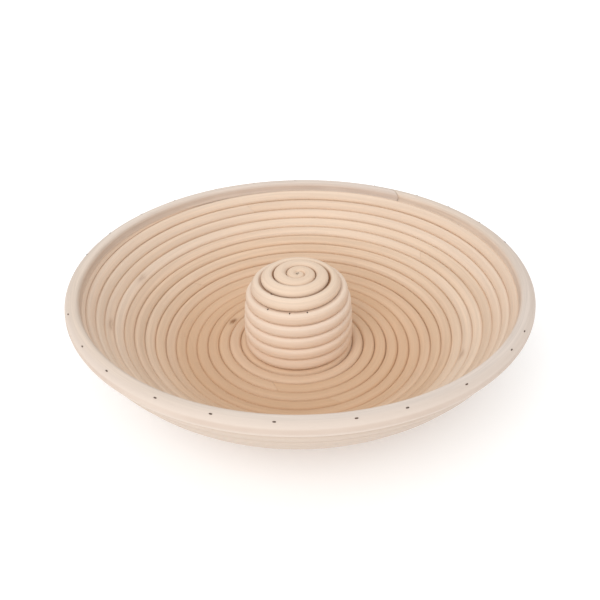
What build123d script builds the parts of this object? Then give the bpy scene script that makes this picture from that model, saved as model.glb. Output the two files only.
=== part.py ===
"""Ring banneton: a round dough-proving basket coiled from rattan cane around a domed hub.

One spiral of cane runs from the crown of the hub, down its wall, out across the trough and up
the wall of the bowl. It is laid in lengths that meet end to end, and each turn is pinned to the
turn before it. A heavier hoop is nailed on top as the rim. Units are millimetres, +Z is up, and
the origin is the centre of the underside, on the surface that the basket stands on.
"""

import math
import os

from build123d import *

# Cane
PITCH = 8.6  # from one turn of the bowl to the next
CANE = 8.3  # diameter of the bowl's cane
HUB_PITCH = 9.3  # from one turn of the hub to the next
HUB_CANE = 8.9  # the hub is wound from slightly heavier cane
JOINT_GAP = 0.3  # between two ends of cane that meet
STATIONS = 16  # points on the centre line of each turn

# Turns are counted outwards, and turn s lies at azimuth -360 s, so the spiral opens clockwise
# seen from above. The trough starts at the front, where the cane leaves the hub.
FLOOR_TURN = -2.75
FLOOR_RADIUS = 38.4
CROWN_TURN = -11.0
TAPER_TURN = 13.3  # the last turn is full size as far as this
TIP_TURN = 13.68  # and tapers away under the rim by here
CORNER_BULGE = 2.0  # the turn in the corner of trough and hub tucks in under the hub
HUB_OFFSET = -1.4  # the hub sits this far along X from the middle of the rim
OFFSET_TURNS = 8  # turns over which the trough takes up that offset
SANDED = 0.2  # depth that the underside is sanded flat

# Direction of the step from one turn to the next, in degrees above level, at some turns:
# outwards in the bowl, and inwards on the hub.
BOWL_STEPS = (
    (-1.75, -4), (0, -2), (1.5, 2), (2.2, 2), (3.4, 14),
    (5, 33), (7, 36), (9, 42), (11, 50), (13, 61),
)  # fmt: skip
HUB_STEPS = (
    (-10.75, 178), (-9.75, 172), (-8.75, 154), (-7.75, 125),
    (-6.75, 98), (-3.75, 90), (-2.75, 105),
)  # fmt: skip

# The lengths of cane, from the crown outwards, with the turns where each starts and ends.
HUB_LENGTHS = (("hub_crown_cane", CROWN_TURN, -7.05), ("hub_wall_cane", -7.05, -3.0))
BOWL_LENGTHS = (
    ("trough_inner_cane", -3.0, -0.7),
    ("trough_middle_cane", -0.7, 1.2),
    ("trough_outer_cane", 1.2, 3.5),
    ("wall_cane_1", 3.5, 5.6),
    ("wall_cane_2", 5.6, 7.35),
    ("wall_cane_3", 7.35, 8.9),
    ("wall_cane_4", 8.9, 10.35),
    ("wall_cane_5", 10.35, 11.7),
    ("top_cane", 11.7, TAPER_TURN),
)
LOWEST_CANE = "trough_middle_cane"  # the one that is sanded flat
TIP_CANE = 1.0  # diameter of the point that the last length tapers to

# Rim hoop
RIM_CANE = 9.2
RIM_RADIUS = 155.4
RIM_HEIGHT = 70.1  # of its centre line
RIM_TILT = 0.85  # degrees that the hoop leans down, towards RIM_LOW_SIDE
RIM_LOW_SIDE = 85
RIM_JOINT_ANGLE = 56
RIM_JOINT_SLANT = 45  # degrees away from square, so that the outer edge is further round
RIM_PLANE = Plane(
    (0, 0, RIM_HEIGHT),
    x_dir=(1, 0, 0),
    z_dir=Vector(0, 0, 1).rotate(Axis.Y, RIM_TILT).rotate(Axis.Z, RIM_LOW_SIDE),
)

# Pins and nails
PIN_RADIUS = 0.7
PIN_LENGTH = 12.0
PIN_START = 3.4  # from the centre of the turn that the pin holds, on the side away from the last
PIN_SPACING = 96.65  # along the cane, chosen so that no pin meets one in the turn beside it
PIN_GROUPS = (("hub_pins", CROWN_TURN + 1, -3), ("trough_pins", -2.8, 3.5), ("wall_pins", 3.6, 13.2))
NAIL_RADIUS = 0.6
NAIL_LENGTH = 13.0
NAIL_HEAD = (2.2, 1.2, 0.6)  # the long side lies along the hoop
NAIL_PROUD = 0.1  # of the hoop
NAIL_ANGLES = (
    -158, -144, -133, -119, -107, -95, -80, -70, -56, -40, -32, -17, -4, 11, 24,
    37, 49, 64, 79, 91, 105, 118, 133, 146, 160, 173, 187,
)  # fmt: skip


def blend(knots, x):
    """The value at x on the line through (x, value) knots, held level beyond its ends."""
    for (x0, y0), (x1, y1) in zip(knots, knots[1:]):
        if x < x1:
            return y0 + (y1 - y0) * max(x - x0, 0) / (x1 - x0)
    return knots[-1][1]


def stepped(point, distance, angle):
    """The (radius, height) one step from another."""
    radius, height = point
    slope = math.radians(angle)
    return radius + distance * math.cos(slope), height + distance * math.sin(slope)


def between(start, end, share):
    """The (radius, height) part of the way from start to end."""
    return start[0] + (end[0] - start[0]) * share, start[1] + (end[1] - start[1]) * share


def section_point(turn):
    """(radius, height) of the cane's centre, with the start of the trough at height 0.

    Each turn lies against the one beside it, one pitch away.
    """
    floor_start = (FLOOR_RADIUS, 0)
    if turn > FLOOR_TURN + 1:
        return stepped(section_point(turn - 1), PITCH, blend(BOWL_STEPS, turn))
    if turn >= FLOOR_TURN:
        end = stepped(floor_start, PITCH, blend(BOWL_STEPS, FLOOR_TURN + 1))
        return between(floor_start, end, turn - FLOOR_TURN)
    if turn >= FLOOR_TURN - 1:
        end = stepped(floor_start, HUB_PITCH, blend(HUB_STEPS, FLOOR_TURN))
        return between(floor_start, end, FLOOR_TURN - turn)
    return stepped(section_point(turn + 1), HUB_PITCH, blend(HUB_STEPS, turn + 1))


LOWEST = min(section_point(k / STATIONS)[1] for k in range(4 * STATIONS))


def centre(turn):
    """The cane's centre as a point in space."""
    radius, height = section_point(turn)
    corner = FLOOR_TURN - turn
    if 0 < corner < 1:
        radius -= CORNER_BULGE * math.sin(math.pi * corner)
    share = min(max((turn - FLOOR_TURN) / OFFSET_TURNS, 0), 1)
    angle = -2 * math.pi * turn
    return Vector(
        radius * math.cos(angle) + HUB_OFFSET * (1 - share),
        radius * math.sin(angle),
        height - LOWEST + CANE / 2 - SANDED,
    )


def laid(turn):
    """The centre and diameter of the bowl's cane, which tapers against the turn below it."""
    if turn <= TAPER_TURN:
        return centre(turn), CANE
    diameter = CANE + (TIP_CANE - CANE) * (turn - TAPER_TURN) / (TIP_TURN - TAPER_TURN)
    below = centre(turn - 1)
    rise = (centre(turn) - below).normalized()
    return below + rise * (PITCH + (diameter - CANE) / 2), diameter


def along(start, end):
    """The turns to put points at between two turns."""
    steps = math.ceil((end - start) * STATIONS)
    return [start + (end - start) * k / steps for k in range(steps + 1)]


def joint_gap(turn):
    """The share of a turn that the glue line in a joint takes up."""
    return JOINT_GAP / (2 * math.pi * section_point(turn)[0])


def lay_cane(start, end, diameter):
    """One length of cane, cut square at both ends."""
    with BuildPart() as cane:
        with BuildLine() as path:
            Spline(*[centre(turn) for turn in along(start, end - joint_gap(end))])
        with BuildSketch(Plane(path.line @ 0, z_dir=path.line % 0)):
            Circle(diameter / 2)
        sweep()
    return cane


def lay_tail():
    """The last length, which tapers to a point between the turn below it and the rim."""
    start = TAPER_TURN + joint_gap(TAPER_TURN)
    with BuildPart() as tail:
        with BuildLine() as path:
            Spline(*[laid(turn)[0] for turn in along(start, TIP_TURN)])
        for turn, share in ((start, 0), (TIP_TURN, 1)):
            with BuildSketch(Plane(path.line @ share, z_dir=path.line % share)):
                Circle(laid(turn)[1] / 2)
        sweep(multisection=True)
    return tail


def sand_flat(cane):
    """The cane with the part of it that would lie below the ground taken off."""
    with BuildPart() as sanded:
        add(cane.part)
        split(bisect_by=Plane.XY, keep=Keep.TOP)
    return sanded


def rim_point(angle):
    """The centre of the hoop at an azimuth."""
    flat = Vector(RIM_RADIUS, 0, 0).rotate(Axis.Z, angle)
    return RIM_PLANE.from_local_coords(flat)


def bend_rim():
    """The hoop, cut through on the slant where its two ends meet."""
    with BuildPart() as rim:
        with BuildSketch(Plane(RIM_PLANE.origin, x_dir=RIM_PLANE.x_dir, z_dir=RIM_PLANE.y_dir)):
            with Locations((RIM_RADIUS, 0)):
                Circle(RIM_CANE / 2)
        revolve(axis=Axis(RIM_PLANE.origin, RIM_PLANE.z_dir))
        slant = Vector(1, 0, 0).rotate(Axis.Z, RIM_JOINT_ANGLE + 90 + RIM_JOINT_SLANT)
        with Locations(Plane(rim_point(RIM_JOINT_ANGLE), x_dir=(0, 0, 1), z_dir=slant)):
            Box(2 * RIM_CANE, 3 * RIM_CANE, JOINT_GAP, mode=Mode.SUBTRACT)
    return rim


def drive_pins(start, end):
    """Pins at even distances along the cane, each through one turn into the turn before it."""
    heads = []
    turn = start
    while turn < end:
        inward = (centre(turn - 1) - centre(turn)).normalized()
        heads.append(Plane(centre(turn) - inward * PIN_START, z_dir=inward))
        turn += PIN_SPACING / (2 * math.pi * section_point(turn)[0])
    with BuildPart() as pins:
        with Locations(*heads):
            Cylinder(PIN_RADIUS, PIN_LENGTH, align=(Align.CENTER, Align.CENTER, Align.MIN))
    return pins


def drive_nails():
    """Headed nails through the hoop into the last full turn below it."""
    heads = []
    for angle in NAIL_ANGLES:
        turn = TAPER_TURN - (TAPER_TURN + angle / 360) % 1
        inward = (centre(turn) - rim_point(angle)).normalized()
        tangent = Vector(0, 1, 0).rotate(Axis.Z, angle)
        outermost = rim_point(angle) - inward * (RIM_CANE / 2 + NAIL_PROUD)
        heads.append(Plane(outermost, x_dir=tangent - inward * tangent.dot(inward), z_dir=inward))
    with BuildPart() as nails:
        with Locations(*heads):
            Cylinder(NAIL_RADIUS, NAIL_LENGTH, align=(Align.CENTER, Align.CENTER, Align.MIN))
            Box(*NAIL_HEAD, align=(Align.CENTER, Align.CENTER, Align.MIN))
    return nails


pieces = {}
for name, first, last in HUB_LENGTHS:
    pieces[name] = lay_cane(first, last, HUB_CANE)
for name, first, last in BOWL_LENGTHS:
    pieces[name] = lay_cane(first, last, CANE)
pieces[LOWEST_CANE] = sand_flat(pieces[LOWEST_CANE])
pieces["tail_cane"] = lay_tail()
pieces["rim_hoop"] = bend_rim()
for name, first, last in PIN_GROUPS:
    pieces[name] = drive_pins(first, last)
pieces["rim_nails"] = drive_nails()

os.makedirs("parts", exist_ok=True)
for name, piece in pieces.items():
    piece.part.label = name
    export_step(piece.part, f"parts/{name}.step")
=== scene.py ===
"""Looks of the ring banneton: one long spiral of rattan cane under a nailed rim hoop.

The coil follows the same rule as the CAD part: every turn lies one pitch from the turn before
it, in a direction given by a short table. Lengths are millimetres until a mesh is made.
"""

import math
from functools import lru_cache

import bpy
import numpy as np
from mathutils import Matrix, Vector, noise


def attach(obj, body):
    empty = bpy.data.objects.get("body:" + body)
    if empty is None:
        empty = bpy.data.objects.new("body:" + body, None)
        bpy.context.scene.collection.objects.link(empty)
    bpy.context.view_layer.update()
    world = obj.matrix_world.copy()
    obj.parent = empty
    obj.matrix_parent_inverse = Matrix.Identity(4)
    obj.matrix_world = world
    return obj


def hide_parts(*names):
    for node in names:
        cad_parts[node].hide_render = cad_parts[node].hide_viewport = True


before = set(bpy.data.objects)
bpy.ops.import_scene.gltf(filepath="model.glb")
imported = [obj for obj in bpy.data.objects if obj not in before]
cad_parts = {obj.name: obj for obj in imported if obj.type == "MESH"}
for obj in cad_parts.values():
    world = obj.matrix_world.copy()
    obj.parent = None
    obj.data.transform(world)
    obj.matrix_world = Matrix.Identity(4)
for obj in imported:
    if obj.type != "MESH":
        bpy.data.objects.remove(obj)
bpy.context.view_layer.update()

MM = 0.001

# The coil, as in the CAD part. Turn s lies at azimuth -360 s.
PITCH = 8.6
HUB_PITCH = 9.3
FLOOR_TURN = -2.75
FLOOR_RADIUS = 38.4
TAPER_TURN = 13.3
TIP_TURN = 13.68
CORNER_BULGE = 2.0
HUB_OFFSET = -1.4
OFFSET_TURNS = 8
LOWEST_HEIGHT = 3.95
CURL_TURN = -10.4  # inward of this the cane was split thinner, so that it could curl tightly
CURL_THINNING = 0.25  # share of its thickness lost per turn from there
BOWL_STEPS = (
    (-1.75, -4), (0, -2), (1.5, 2), (2.2, 2), (3.4, 14),
    (5, 33), (7, 36), (9, 42), (11, 50), (13, 61),
)  # fmt: skip
HUB_STEPS = (
    (-10.75, 178), (-9.75, 172), (-8.75, 154), (-7.75, 125),
    (-6.75, 98), (-3.75, 90), (-2.75, 105),
)  # fmt: skip
LENGTHS = (
    ("hub_crown_cane", -12.3, -7.05),
    ("hub_wall_cane", -7.05, -3.0),
    ("trough_inner_cane", -3.0, -0.7),
    ("trough_middle_cane", -0.7, 1.2),
    ("trough_outer_cane", 1.2, 3.5),
    ("wall_cane_1", 3.5, 5.6),
    ("wall_cane_2", 5.6, 7.35),
    ("wall_cane_3", 7.35, 8.9),
    ("wall_cane_4", 8.9, 10.35),
    ("wall_cane_5", 10.35, 11.7),
    ("top_cane", 11.7, TAPER_TURN),
    ("tail_cane", TAPER_TURN, TIP_TURN),
)

# The cane's skin. It is pressed against its neighbours, so it is a bit thicker than in CAD.
CANE_RADIUS = 4.34
HUB_CANE_RADIUS = 4.7
TIP_RADIUS = 0.7
SIDES = 32
ROUND = 2.0  # exponent of a round section's outline
HUB_SQUARENESS = 2.9
BOWL_SQUARENESS = 3.7
CORNER_TURNS = 1.2  # over which the section goes from round to that
STATION_LENGTH = 2.2  # from one section of a cane to the next
SWELLING = 0.1  # how far the exposed sides bulge or shrink along the cane
SWELLING_LENGTH = 45
SWELLING_SEED = 3  # added to the cane's seed, so that it does not swell as it wanders
WANDER = 0.12  # how far the cane wanders in and out of the coil's surface
WANDER_LENGTH = 70
WAVE_PLACE = (7.3, 1.7)  # where the waves are read in the noise: a step per seed, and a level
GROOVE_DEPTH = 0.06  # of the fibres' grooves
GROOVES = ((2.6, 60, 1.0), (8.0, 35, 0.6))  # how close they are, their length and share of depth
SCARF_SLOPE = 0.9  # of the slanting joints between lengths
HUB_SCARF_SLOPE = 0.3
SCARF_REACH = 16.0  # length of cane over which the sections turn to that slant
END_GAP = 0.02
END_CHAMFER = 0.08
END_SETBACK = 0.15  # length of the bevel, as a share of the way to the next section
SEED_STEP = 1.37  # from one length of cane to the next

# Knots and bruises: turn, degrees round the cane (90 is the exposed face), half length and
# half width in millimetres, and strength.
MARKS = (
    (-0.433, 95, 3.5, 2.0, 1.0),
    (9.547, 80, 5.0, 2.0, 0.35),
    (10.464, 95, 6.0, 2.0, 0.45),
    (6.22, 85, 4.0, 1.8, 0.35),
    (3.71, 75, 5.0, 1.6, 0.4),
    (-5.36, 80, 4.0, 2.0, 0.3),
    (8.07, 95, 6.0, 2.0, 0.35),
)

# Tips of the hub's pins that show in the seams between its turns, by turn.
PIN_TIPS = (-8.636, -7.648, -7.724, -7.78)
PIN_SIZE = 0.4
PIN_DEPTH = 0.28  # how far out of the coil's middle their feet are, as a share of the radius

# Heads of the rim's nails, by azimuth. The CAD part has three more nails, whose heads stay
# hidden in the hoop.
NAIL_ANGLES = (
    -158, -144, -133, -119, -107, -95, -80, -70, -56, -40, -32, 11, 24,
    37, 49, 64, 79, 91, 105, 118, 133, 146, 160, 173,
)  # fmt: skip
NAIL_HALF_LENGTH = 0.95
NAIL_HALF_WIDTH = 0.42
NAIL_PROUD = 0.1

# The shape of a pin's tip or a nail's head.
STUD_LEVELS = ((0.0, 1.0), (1.0, 1.0), (1.15, 0.75))  # height above the foot, and size there
STUD_SIDES = 14
STUD_SQUARENESS = 2.8

# How dark the painted shade in the seams between turns is, by turn.
SEAM_SHADES = (
    (-12, 1.0), (-9, 1.0), (-8, 0.25), (-3.9, 0.2),
    (-3.2, 1.0), (2, 1.0), (5, 0.7), (13, 0.55),
)  # fmt: skip

# How much of the paler cane of the hub shows, by turn.
PALES = (
    (-12, 0.2), (-9, 0.3), (-8, 0.9), (-4.5, 1.0), (-3.2, 0.8), (-2.8, 0.0),
    (6, 0.0), (9, 0.3), (13, 0.5),
)  # fmt: skip

# How far the cane has gone from cream to orange tan, by turn: a real stain, made deeper low in the
# trough as painted shade.
STAINS_AND_SHADE = ((-4.6, 0), (-3.6, 0.35), (-2.9, 0.5), (-1.8, 1.1), (2, 1.5), (4, 1.0), (8, 0.2), (10, 0))

# The rim hoop.
RIM_RADIUS = 4.82
RIM_JOINT_ANGLE = 57.4
RIM_SLOPE = 1.8  # of the joint
RIM_STATIONS = 700
RIM_INNER_SQUARENESS = 3.5
RIM_OUTER_SQUARENESS = 2.0
RIM_SEATING = 0.2  # how much further the hoop reaches down, where it beds on the canes below
RIM_GAP = 0.55  # between each end and the middle of the joint
# Strength of the painted shade in the rim's seams.
RIM_SEAM_SHADE = 0.2
RIM_SEED = 40.5

# Colours are linear red, green and blue. A share is how much of a colour shows where it is full.
WARM_CANE = (0.80, 0.62, 0.44)
WARM_SHARE = 0.3
PALE_CANE = (0.90, 0.76, 0.65)
PALE_SHARE = 0.6
# Painted shade on the outer side of the coil and of the hoop.
OUTER_SHADE_SHARE = 0.9
# Orange tan of the real stain, also used as painted shade in the trough.
STAINED_AND_SHADED_CANE = (0.65, 0.405, 0.23)
STAIN_AND_SHADE_SHARE = 0.45
KNOT_BROWN = (0.28, 0.13, 0.055)
KNOT_SHARE = 0.9
# Painted shade in the seams between turns: brown darkening where neighbouring canes touch.
SEAM_SHADE_BROWN = (0.29, 0.13, 0.05)
SEAM_SHADE_RANGE = (0.89, 0.99)  # cosines of the angle to a neighbour where the painted seam shade starts and is full
OUTER_SHADE_RANGE = (-0.2, 0.7)  # the same, for the painted shade on the outer side and the angle to its middle

# Patterns in the cane. Each has features round the cane, features along each metre, detail and
# roughness, and then the range of noise that is stretched to the last two numbers.
PATTERNS = {
    "drift": ((0.5, 3.0, 2.0, 0.5), (0.32, 0.68, 0.0, 1.0)),
    "warmth": ((0.7, 1.9, 2.0, 0.5), (0.35, 0.65, 0.0, 1.0)),
    "streaks": ((9.0, 7.0, 4.0, 0.6), (0.35, 0.7, 0.90, 1.04)),
    "fibres": ((75.0, 28.0, 3.0, 0.65), (0.3, 0.7, 0.93, 1.03)),
    "seam_shade_noise": ((1.0, 22.0, 4.0, 0.5), (0.3, 0.65, 0.45, 1.0)),
    "speckle": ((24.0, 160.0, 3.0, 0.5), (0.3, 0.6, 0.4, 1.3)),
    "roughness": ((20.0, 12.0, 2.0, 0.5), (0.3, 0.7, 0.52, 0.72)),
}
CANE_SPECULAR = 0.35
BUMP_STRENGTH = 0.35
BUMP_DEPTH = 0.0004  # metres

WIRE_DARK = (0.09, 0.06, 0.045)
WIRE_RUST = (0.19, 0.12, 0.08)
WIRE_SPOTS = 900  # per metre
WIRE_DETAIL = 3.0
RUST_RANGE = (0.35, 0.7)
WIRE_ROUGHNESS = (0.3, 0.7, 0.45, 0.75)
WIRE_METALLIC = 0.4

# The room, in metres.
FLOOR_REACH = 6.0
FLOOR_DROP = 0.0002  # below the basket, so that the two faces do not flicker
FLOOR_TONE = 0.83
FLOOR_ROUGHNESS = 0.9
FLOOR_GLOW = (0.1, 0.45, 0.24, 0.56)  # two distances from the middle, and the glow at each
WORLD_STRENGTH = 0.79
KEY_PLACE = (-0.4, -0.95, 0.95)
KEY_SIZE = 1.1
KEY_POWER = 8.5

# The camera, in millimetres and degrees.
CAMERA_TARGET = (0.0, 0.0, 44.0)
CAMERA_DISTANCE = 450.7
CAMERA_ELEVATION = 33.95
CAMERA_ROLL = 0.85
CAMERA_FOCAL = 36.6
CAMERA_SENSOR = 36.0

# How the rule of the coil is read.
SEARCH_TURNS = 4  # from turn 0 on, where the coil is lowest
SEARCH_STEPS = 16  # per turn
NUDGE = 0.001  # turns to either side, for the cane's direction


def blend(knots, x):
    """The value at x on the line through (x, value) knots, held level beyond its ends."""
    for (x0, y0), (x1, y1) in zip(knots, knots[1:]):
        if x < x1:
            return y0 + (y1 - y0) * max(x - x0, 0) / (x1 - x0)
    return knots[-1][1]


def stepped(point, distance, angle):
    """The (radius, height) one step from another."""
    slope = math.radians(angle)
    return point[0] + distance * math.cos(slope), point[1] + distance * math.sin(slope)


def between(start, end, share):
    """The (radius, height) part of the way from start to end."""
    return start[0] + (end[0] - start[0]) * share, start[1] + (end[1] - start[1]) * share


def thickness(turn):
    """The cane's thickness as a share of a full cane's, in the curl at the crown."""
    return 1 - CURL_THINNING * max(CURL_TURN - turn, 0)


@lru_cache(maxsize=None)
def section_point(turn):
    """(radius, height) of the cane's centre, with the start of the trough at height 0."""
    floor_start = (FLOOR_RADIUS, 0)
    if turn > FLOOR_TURN + 1:
        return stepped(section_point(turn - 1), PITCH, blend(BOWL_STEPS, turn))
    if turn >= FLOOR_TURN:
        end = stepped(floor_start, PITCH, blend(BOWL_STEPS, FLOOR_TURN + 1))
        return between(floor_start, end, turn - FLOOR_TURN)
    if turn >= FLOOR_TURN - 1:
        end = stepped(floor_start, HUB_PITCH, blend(HUB_STEPS, FLOOR_TURN))
        return between(floor_start, end, FLOOR_TURN - turn)
    step = HUB_PITCH * (thickness(turn) + thickness(turn + 1)) / 2
    return stepped(section_point(turn + 1), step, blend(HUB_STEPS, turn + 1))


LOWEST = min(section_point(k / SEARCH_STEPS)[1] for k in range(SEARCH_TURNS * SEARCH_STEPS))


def centre(turn):
    """The cane's centre as a point in space."""
    radius, height = section_point(turn)
    corner = FLOOR_TURN - turn
    if 0 < corner < 1:
        radius -= CORNER_BULGE * math.sin(math.pi * corner)
    share = min(max((turn - FLOOR_TURN) / OFFSET_TURNS, 0), 1)
    angle = -2 * math.pi * turn
    return np.array((
        radius * math.cos(angle) + HUB_OFFSET * (1 - share),
        radius * math.sin(angle),
        height - LOWEST + LOWEST_HEIGHT,
    ))


def unit(vector):
    return vector / np.linalg.norm(vector)


def directions(turn):
    """Unit vectors at a turn: along the cane, towards the next turn, and out of the coil's face."""
    ahead = unit(centre(turn + NUDGE) - centre(turn - NUDGE))
    across = centre(turn + 1) - centre(turn)
    across = unit(across - ahead * across.dot(ahead))
    return ahead, across, np.cross(ahead, across)


def wave(distance, scale, seed):
    """Smooth noise from about -1 to 1 along a length of cane."""
    seed_step, level = WAVE_PLACE
    return noise.noise(Vector((distance / scale, seed * seed_step, level)))


def squareness(turn):
    """Exponent of the section's outline: 2 is round, more is flatter. The corner stays round."""
    if turn < FLOOR_TURN:
        return ROUND + (HUB_SQUARENESS - ROUND) * min(abs(turn - FLOOR_TURN) / CORNER_TURNS, 1)
    return ROUND + (BOWL_SQUARENESS - ROUND) * min((turn - FLOOR_TURN) / CORNER_TURNS, 1)


def outline(angle, exponent):
    """Reach of a flattened section at an angle, for a radius of 1 towards its neighbours."""
    total = abs(math.cos(angle)) ** exponent + abs(math.sin(angle)) ** exponent
    return total ** (-1 / exponent)


def grooves(angle, distance, seed):
    """The fibres' relief at one point of a cane's skin, in millimetres."""
    x, y = math.cos(angle), math.sin(angle)
    relief = 0.0
    for closeness, length, share in GROOVES:
        spot = Vector((x * closeness + seed, y * closeness, distance / length))
        relief += share * noise.noise(spot)
    return GROOVE_DEPTH * relief


def skin(name, rings, distances, attributes):
    """A mesh tube through rings of points, with end caps, and UVs round and along it."""
    count, sides = rings.shape[:2]
    mesh = bpy.data.meshes.new(name)
    faces = []
    for k in range(count - 1):
        for j in range(sides):
            near, far = k * sides, (k + 1) * sides
            following = (j + 1) % sides
            faces.append((near + j, near + following, far + following, far + j))
    faces.append(tuple(range(sides))[::-1])
    faces.append(tuple((count - 1) * sides + j for j in range(sides)))
    mesh.from_pydata((rings.reshape(-1, 3) * MM).tolist(), [], faces)
    uv_layer = mesh.uv_layers.new(name="CaneUV")
    uv = []
    for k in range(count - 1):
        for j in range(sides):
            for dj, dk in ((0, 0), (1, 0), (1, 1), (0, 1)):
                uv.append(((j + dj) / sides, distances[k + dk] * MM))
    for end in (0, count - 1):
        uv += [(j / sides, distances[end] * MM) for j in range(sides)]
    uv_layer.data.foreach_set("uv", np.array(uv, np.float32).ravel())
    for key, values in attributes.items():
        layer = mesh.attributes.new(key, "FLOAT", "POINT")
        values = np.asarray(values, np.float32).reshape(count, -1)
        layer.data.foreach_set("value", np.broadcast_to(values, (count, sides)).ravel())
    mesh.shade_smooth()
    piece = bpy.data.objects.new(name, mesh)
    bpy.context.scene.collection.objects.link(piece)
    return piece


def slanted(share_from_start, share_from_end, length):
    """How much of the scarf's slant a section has, from its distance to the nearer end."""
    nearest = min(share_from_start, share_from_end) * length
    return max(0.0, 1 - nearest / SCARF_REACH)


def cane_radius(turn):
    """The cane's radius, and how far a tapered section sinks towards the turn before it."""
    if turn <= TAPER_TURN:
        return (HUB_CANE_RADIUS * thickness(turn) if turn < LENGTHS[1][2] else CANE_RADIUS), 0.0
    share = (turn - TAPER_TURN) / (TIP_TURN - TAPER_TURN)
    radius = CANE_RADIUS + (TIP_RADIUS - CANE_RADIUS) * share
    return radius, CANE_RADIUS - radius


def marked(turn, angles):
    """How much of a knot or bruise lies at each angle round the cane at a turn."""
    amounts = []
    for angle in angles:
        amount = 0.0
        for at, degrees, half_length, half_width, strength in MARKS:
            radius = section_point(at)[0]
            lengthwise = (turn - at) * 2 * math.pi * radius / half_length
            crosswise = (angle - math.radians(degrees)) * CANE_RADIUS / half_width
            amount += strength * math.exp(-(lengthwise**2) - crosswise**2)
        amounts.append(amount)
    return amounts


def make_cane(name, start, end, seed, distance):
    """One length of the spiral. Returns the piece and the distance along the cane at its end."""
    mean_radius = section_point((start + end) / 2)[0]
    length = (end - start) * 2 * math.pi * mean_radius
    steps = math.ceil(length / STATION_LENGTH)
    angles = [2 * math.pi * j / SIDES for j in range(SIDES)]
    rings, distances, stains_and_shade, marks, pales, seam_shades = [], [], [], [], [], []
    slope = SCARF_SLOPE if start > FLOOR_TURN - 1 else HUB_SCARF_SLOPE
    previous = None
    for k in range(steps + 1):
        turn = start + (end - start) * k / steps
        point = centre(turn)
        ahead, across, out = directions(turn)
        radius, sink = cane_radius(turn)
        if previous is not None:
            distance += np.linalg.norm(point - previous)
        previous = point
        point = point - across * sink + out * WANDER * wave(distance, WANDER_LENGTH, seed)
        slant = slope * slanted(k / steps, 1 - k / steps, length)
        gap = END_GAP * ((k == 0) - (k == steps))
        bulge = SWELLING * wave(distance, SWELLING_LENGTH, seed + SWELLING_SEED)
        exponent = squareness(turn)
        ring = []
        for angle in angles:
            cos, sin = math.cos(angle), math.sin(angle)
            reach = radius * outline(angle, exponent)
            reach += (bulge + grooves(angle, distance, seed)) * sin * sin
            ring.append(
                point + across * cos * reach + out * sin * reach
                + ahead * (gap - slant * cos * radius)
            )
        rings.append(ring)
        distances.append(distance)
        # Real stain, deepened into painted shade in the trough.
        stains_and_shade.append(max(blend(STAINS_AND_SHADE, turn), 0))
        marks.append(marked(turn, angles))
        pales.append(blend(PALES, turn))
        # Strength of the painted shade in the seams, by turn.
        seam_shades.append(blend(SEAM_SHADES, turn))
    rings = np.array(rings)
    rings[..., 2] = rings[..., 2].clip(min=0)  # the underside is sanded flat
    columns = (distances, stains_and_shade, marks, pales, seam_shades)
    rings, longer, stains_and_shade, marks, pales, seam_shades = chamfered(rings, *columns)
    tones = [seed] * len(longer)
    attributes = {"stain_and_shade": stains_and_shade, "mark": marks, "pale": pales, "seam_shade": seam_shades, "tone": tones}
    piece = skin(name, rings, longer, attributes)
    return piece, distance


def chamfered(rings, distances, *others):
    """The same tube with a small bevel at both ends."""
    first, last = rings[0], rings[-1]
    inset = []
    for ring, neighbour in ((first, rings[1]), (last, rings[-2])):
        middle = ring.mean(0)
        inset.append(middle + (ring - middle) * (1 - END_CHAMFER / CANE_RADIUS))
        ring += (neighbour - ring) * END_SETBACK
    rings = np.concatenate([[inset[0]], rings, [inset[1]]])
    longer = [[row[0], *row, row[-1]] for row in (distances, *others)]
    return rings, *longer


def hoop_frame():
    """Centre, axis, two directions across and radius of the rim hoop, from its CAD node."""
    points = np.array([v.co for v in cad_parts["rim_hoop"].data.vertices]) / MM
    middle = (points.min(0) + points.max(0)) / 2
    axis = np.linalg.svd(points - points.mean(0), full_matrices=False)[2][2]
    axis = axis * np.sign(axis[2])
    flat = points - middle
    radial = np.linalg.norm(flat - np.outer(flat @ axis, axis), axis=1)
    east = unit(np.cross((0.0, 1.0, 0.0), axis))
    return middle, axis, east, np.cross(axis, east), (radial.min() + radial.max()) / 2


def make_rim(seed):
    """The rim hoop, open at its slanting joint."""
    middle, axis, east, north, hoop_radius = hoop_frame()
    angles = [2 * math.pi * j / SIDES for j in range(SIDES)]
    rings, distances = [], []
    length = 2 * math.pi * hoop_radius
    for k in range(RIM_STATIONS + 1):
        share = k / RIM_STATIONS
        azimuth = math.radians(RIM_JOINT_ANGLE) + 2 * math.pi * share
        radial = east * math.cos(azimuth) + north * math.sin(azimuth)
        ahead = np.cross(axis, radial)
        distance = share * length
        slant = RIM_SLOPE * slanted(share, 1 - share, length)
        gap = RIM_GAP * ((k == 0) - (k == RIM_STATIONS))
        ring = []
        for angle in angles:
            cos, sin = math.cos(angle), math.sin(angle)
            exponent = RIM_OUTER_SQUARENESS if cos > 0 else RIM_INNER_SQUARENESS
            reach = RIM_RADIUS * outline(angle, exponent) + grooves(angle, distance, seed)
            if sin > 0:
                reach *= 1 + RIM_SEATING * sin
            ring.append(
                middle + radial * (hoop_radius + cos * reach) - axis * sin * reach
                + ahead * (gap + slant * cos * RIM_RADIUS)
            )
        rings.append(ring)
        distances.append(distance)
    rings, distances = chamfered(np.array(rings), distances)
    zeros = [0.0] * len(distances)
    # Painted shade in the rim's seams.
    seam_shades = [RIM_SEAM_SHADE] * len(zeros)
    tones = [seed] * len(zeros)
    attributes = {"stain_and_shade": zeros, "mark": zeros, "pale": zeros, "seam_shade": seam_shades, "tone": tones}
    return skin("rim_hoop_skin", rings, distances, attributes)


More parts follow.
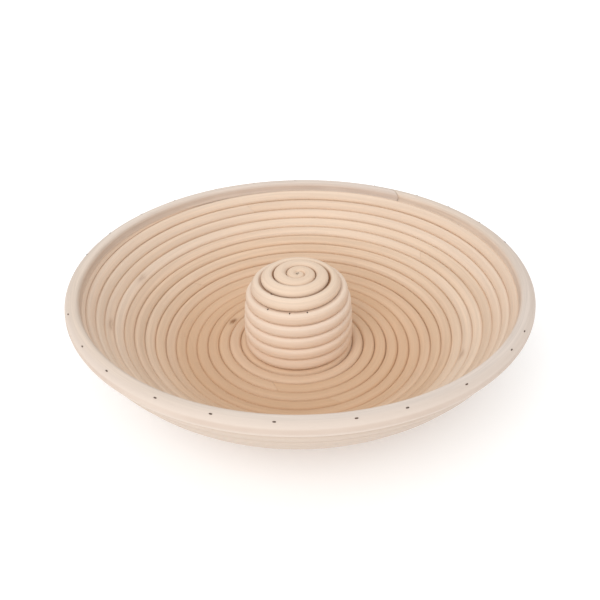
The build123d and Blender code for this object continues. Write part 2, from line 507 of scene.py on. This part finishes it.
def make_studs(name, places):
    """Small metal ends. A place is (foot, half length, half width, outward), all vectors."""
    vertices, faces = [], []
    for foot, half_length, half_width, outward in places:
        start = len(vertices)
        for depth, size in STUD_LEVELS:
            for j in range(STUD_SIDES):
                angle = 2 * math.pi * j / STUD_SIDES
                reach = size * outline(angle, STUD_SQUARENESS)
                spread = half_length * math.cos(angle) + half_width * math.sin(angle)
                vertices.append((foot + spread * reach + outward * depth) * MM)
        for level in range(len(STUD_LEVELS) - 1):
            for j in range(STUD_SIDES):
                near, far = start + level * STUD_SIDES, start + (level + 1) * STUD_SIDES
                following = (j + 1) % STUD_SIDES
                faces.append((near + j, near + following, far + following, far + j))
        top = start + (len(STUD_LEVELS) - 1) * STUD_SIDES
        faces.append(tuple(start + j for j in range(STUD_SIDES))[::-1])
        faces.append(tuple(top + j for j in range(STUD_SIDES)))
    mesh = bpy.data.meshes.new(name)
    mesh.from_pydata([tuple(vertex) for vertex in vertices], [], faces)
    piece = bpy.data.objects.new(name, mesh)
    bpy.context.scene.collection.objects.link(piece)
    return piece


def pin_places():
    """Where the pin tips stand, in the seams of the hub."""
    places = []
    for turn in PIN_TIPS:
        ahead, across, out = directions(turn)
        foot = centre(turn) - across * HUB_CANE_RADIUS + out * HUB_CANE_RADIUS * PIN_DEPTH
        places.append((foot, ahead * PIN_SIZE, across * PIN_SIZE, out))
    return places


def nail_places():
    """Where the nail heads lie, on the outer shoulder of the hoop."""
    middle, axis, east, north, hoop_radius = hoop_frame()
    places = []
    for angle in NAIL_ANGLES:
        azimuth = math.radians(angle)
        radial = east * math.cos(azimuth) + north * math.sin(azimuth)
        spot = middle + radial * hoop_radius
        turn = TAPER_TURN - (TAPER_TURN + angle / 360) % 1
        outward = unit(spot - centre(turn))
        tangent = unit(np.cross(axis, radial))
        side = np.cross(outward, tangent)
        foot = spot + outward * (RIM_RADIUS - STUD_LEVELS[1][0] + NAIL_PROUD)
        places.append((foot, tangent * NAIL_HALF_LENGTH, side * NAIL_HALF_WIDTH, outward))
    return places


class Shader:
    """A material's node tree, built one node at a time."""

    def __init__(self, name):
        self.material = bpy.data.materials.new(name)
        self.material.use_nodes = True
        self.tree = self.material.node_tree
        self.surface = self.tree.nodes["Principled BSDF"]

    def node(self, kind, inputs=(), **settings):
        """Adds a node. Inputs are (socket, value or output socket) pairs."""
        made = self.tree.nodes.new(kind)
        for key, value in settings.items():
            setattr(made, key, value)
        for key, value in inputs:
            self.feed(made.inputs[key], value)
        return made

    def feed(self, socket, value):
        if isinstance(value, bpy.types.NodeSocket):
            self.tree.links.new(value, socket)
        else:
            socket.default_value = value

    def math(self, operation, *values):
        return self.node("ShaderNodeMath", enumerate(values), operation=operation).outputs[0]

    def noise(self, vector, detail, roughness=0.5):
        pairs = (("Vector", vector), ("Scale", 1.0), ("Detail", detail), ("Roughness", roughness))
        return self.node("ShaderNodeTexNoise", pairs).outputs["Fac"]

    def stretch(self, value, low, high, to_low=0.0, to_high=1.0):
        """Maps low..high smoothly to another range."""
        pairs = ((0, value), (1, low), (2, high), (3, to_low), (4, to_high))
        made = self.node("ShaderNodeMapRange", pairs, interpolation_type="SMOOTHSTEP")
        return made.outputs[0]

    def mix(self, factor, first, second, blend_type="MIX"):
        made = self.node("ShaderNodeMix", data_type="RGBA", blend_type=blend_type)
        self.feed(made.inputs[0], factor)
        self.feed(made.inputs[6], first)
        self.feed(made.inputs[7], second)
        return made.outputs[2]

    def combine(self, x, y, z):
        return self.node("ShaderNodeCombineXYZ", ((0, x), (1, y), (2, z))).outputs[0]


def cane_material(name, light, dark, outer, outer_turn):
    """Raw rattan: fibres along the cane, tone that drifts along it, painted shade in the seams
    between turns.

    The outer side is darkened with painted shade. outer_turn says where it lies, as a share of the
    way round.
    """
    shader = Shader(name)
    uv = shader.node("ShaderNodeUVMap", uv_map="CaneUV").outputs[0]
    split = shader.node("ShaderNodeSeparateXYZ", ((0, uv),))
    turn = shader.math("MULTIPLY", split.outputs[0], 2 * math.pi)
    along = split.outputs[1]
    cosine, sine = shader.math("COSINE", turn), shader.math("SINE", turn)
    tone, stain_and_shade, mark, pale, seam_shade = (
        shader.node("ShaderNodeAttribute", attribute_name=key).outputs["Fac"]
        for key in ("tone", "stain_and_shade", "mark", "pale", "seam_shade")
    )

    def noise_of(kind):
        """The noise of one of PATTERNS. It runs round the cane without a break."""
        round_scale, long_scale, detail, roughness = PATTERNS[kind][0]
        x = shader.math("MULTIPLY", cosine, round_scale / (2 * math.pi))
        y = shader.math("MULTIPLY", sine, round_scale / (2 * math.pi))
        z = shader.math("MULTIPLY_ADD", along, long_scale, tone)
        return shader.noise(shader.combine(x, y, z), detail, roughness)

    def pattern(kind):
        return shader.stretch(noise_of(kind), *PATTERNS[kind][1])

    def tinted(base, amount, share, tint):
        return shader.mix(shader.math("MULTIPLY", amount, share), base, (*tint, 1))

    colour = shader.mix(pattern("drift"), (*dark, 1), (*light, 1))
    colour = tinted(colour, pattern("warmth"), WARM_SHARE, WARM_CANE)
    shade = shader.math("MULTIPLY", pattern("streaks"), pattern("fibres"))
    grey = shader.combine(shade, shade, shade)
    colour = shader.mix(1.0, colour, grey, "MULTIPLY")
    colour = tinted(colour, pale, PALE_SHARE, PALE_CANE)
    # Painted shade on the outer side of the cane.
    outwards = shader.math("COSINE", shader.math("SUBTRACT", turn, outer_turn * 2 * math.pi))
    outer_shade = shader.stretch(outwards, *OUTER_SHADE_RANGE)
    colour = tinted(colour, outer_shade, OUTER_SHADE_SHARE, outer)
    # Painted shade in the seams where neighbouring turns touch, broken up by noise.
    contact = shader.stretch(shader.math("ABSOLUTE", cosine), *SEAM_SHADE_RANGE)
    seam_shading = shader.math("MULTIPLY", contact, pattern("seam_shade_noise"))
    colour = tinted(colour, seam_shading, seam_shade, SEAM_SHADE_BROWN)
    # Orange-tan stain, deepened with painted shade low in the trough.
    colour = tinted(colour, stain_and_shade, STAIN_AND_SHADE_SHARE, STAINED_AND_SHADED_CANE)
    ragged = shader.math("MULTIPLY", mark, pattern("speckle"))
    colour = shader.mix(shader.math("MINIMUM", ragged, KNOT_SHARE), colour, (*KNOT_BROWN, 1))
    shader.feed(shader.surface.inputs["Base Color"], colour)
    shader.feed(shader.surface.inputs["Roughness"], pattern("roughness"))
    shader.feed(shader.surface.inputs["Specular IOR Level"], CANE_SPECULAR)
    relief = (("Strength", BUMP_STRENGTH), ("Distance", BUMP_DEPTH), ("Height", noise_of("fibres")))
    bump = shader.node("ShaderNodeBump", relief)
    shader.feed(shader.surface.inputs["Normal"], bump.outputs[0])
    return shader.material


def wire_material():
    """Dull darkened wire for the pins and nails."""
    shader = Shader("pin_wire")
    place = shader.node("ShaderNodeTexCoord").outputs["Object"]
    pairs = ((0, place), (1, (WIRE_SPOTS,) * 3))
    scaled = shader.node("ShaderNodeVectorMath", pairs, operation="MULTIPLY")
    spots = shader.noise(scaled.outputs[0], WIRE_DETAIL)
    rust = shader.stretch(spots, *RUST_RANGE)
    colour = shader.mix(rust, (*WIRE_DARK, 1), (*WIRE_RUST, 1))
    shader.feed(shader.surface.inputs["Base Color"], colour)
    shader.feed(shader.surface.inputs["Roughness"], shader.stretch(spots, *WIRE_ROUGHNESS))
    shader.feed(shader.surface.inputs["Metallic"], WIRE_METALLIC)
    return shader.material


def finish_piece(piece, material):
    piece.data.materials.append(material)
    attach(piece, "root")


def make_floor():
    """A plain pale floor under the basket, glowing more with the distance from it."""
    mesh = bpy.data.meshes.new("floor")
    signs = ((-1, -1), (1, -1), (1, 1), (-1, 1))
    mesh.from_pydata([(x * FLOOR_REACH, y * FLOOR_REACH, 0) for x, y in signs], [], [(0, 1, 2, 3)])
    floor = bpy.data.objects.new("floor", mesh)
    bpy.context.scene.collection.objects.link(floor)
    shader = Shader("pale_floor")
    shader.feed(shader.surface.inputs["Base Color"], (FLOOR_TONE, FLOOR_TONE, FLOOR_TONE, 1))
    shader.feed(shader.surface.inputs["Roughness"], FLOOR_ROUGHNESS)
    shader.feed(shader.surface.inputs["Emission Color"], (1, 1, 1, 1))
    place = shader.node("ShaderNodeTexCoord").outputs["Object"]
    reach = shader.node("ShaderNodeVectorMath", ((0, place),), operation="LENGTH").outputs["Value"]
    glow = shader.stretch(reach, *FLOOR_GLOW)
    shader.feed(shader.surface.inputs["Emission Strength"], glow)
    mesh.materials.append(shader.material)
    floor.location.z = -FLOOR_DROP


def make_camera():
    data = bpy.data.cameras.new("camera")
    data.lens = CAMERA_FOCAL
    data.sensor_width = CAMERA_SENSOR
    camera = bpy.data.objects.new("camera", data)
    bpy.context.scene.collection.objects.link(camera)
    elevation = math.radians(CAMERA_ELEVATION)
    target = Vector(CAMERA_TARGET) * MM
    offset = Vector((0, -math.cos(elevation), math.sin(elevation))) * CAMERA_DISTANCE * MM
    aim = (-offset).to_track_quat("-Z", "Y").to_matrix().to_4x4()
    roll = Matrix.Rotation(math.radians(-CAMERA_ROLL), 4, "Z")
    camera.matrix_world = Matrix.Translation(target + offset) @ aim @ roll
    bpy.context.scene.camera = camera


def area_light(name, position, size, power):
    data = bpy.data.lights.new(name, "AREA")
    data.size = size
    data.energy = power
    light = bpy.data.objects.new(name, data)
    bpy.context.scene.collection.objects.link(light)
    light.location = position
    light.rotation_euler = (-Vector(position)).to_track_quat("-Z", "Y").to_euler()


def make_light():
    """Soft, nearly even studio light."""
    world = bpy.data.worlds.new("studio")
    world.use_nodes = True
    background = world.node_tree.nodes["Background"]
    background.inputs["Color"].default_value = (1, 1, 1, 1)
    background.inputs["Strength"].default_value = WORLD_STRENGTH
    bpy.context.scene.world = world
    area_light("key", KEY_PLACE, KEY_SIZE, KEY_POWER)


view = bpy.context.scene.view_settings
view.view_transform = "Standard"

cane_finish = cane_material(
    "rattan_cane",
    light=(0.87, 0.705, 0.56),
    dark=(0.76, 0.56, 0.40),
    # outer: painted shade on the outer side of the coil
    outer=(0.57, 0.47, 0.395),
    outer_turn=0.75,
)
rim_finish = cane_material(
    "rattan_rim",
    light=(0.80, 0.70, 0.625),
    dark=(0.74, 0.63, 0.55),
    # outer: painted shade on the outer side of the hoop
    outer=(0.64, 0.54, 0.465),
    outer_turn=0.0,
)

travelled = 0.0
for number, (node_name, first, last) in enumerate(LENGTHS):
    cane, travelled = make_cane(f"{node_name}_skin", first, last, number * SEED_STEP, travelled)
    finish_piece(cane, cane_finish)
    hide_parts(node_name)
rim = make_rim(RIM_SEED)
finish_piece(rim, rim_finish)
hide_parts("rim_hoop")

wire = wire_material()
finish_piece(make_studs("hub_pin_tips", pin_places()), wire)
finish_piece(make_studs("rim_nail_heads", nail_places()), wire)
for node_name in ("hub_pins", "trough_pins", "wall_pins", "rim_nails"):
    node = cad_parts[node_name]
    node.data.materials.clear()
    node.data.materials.append(wire)

make_floor()
make_camera()
make_light()
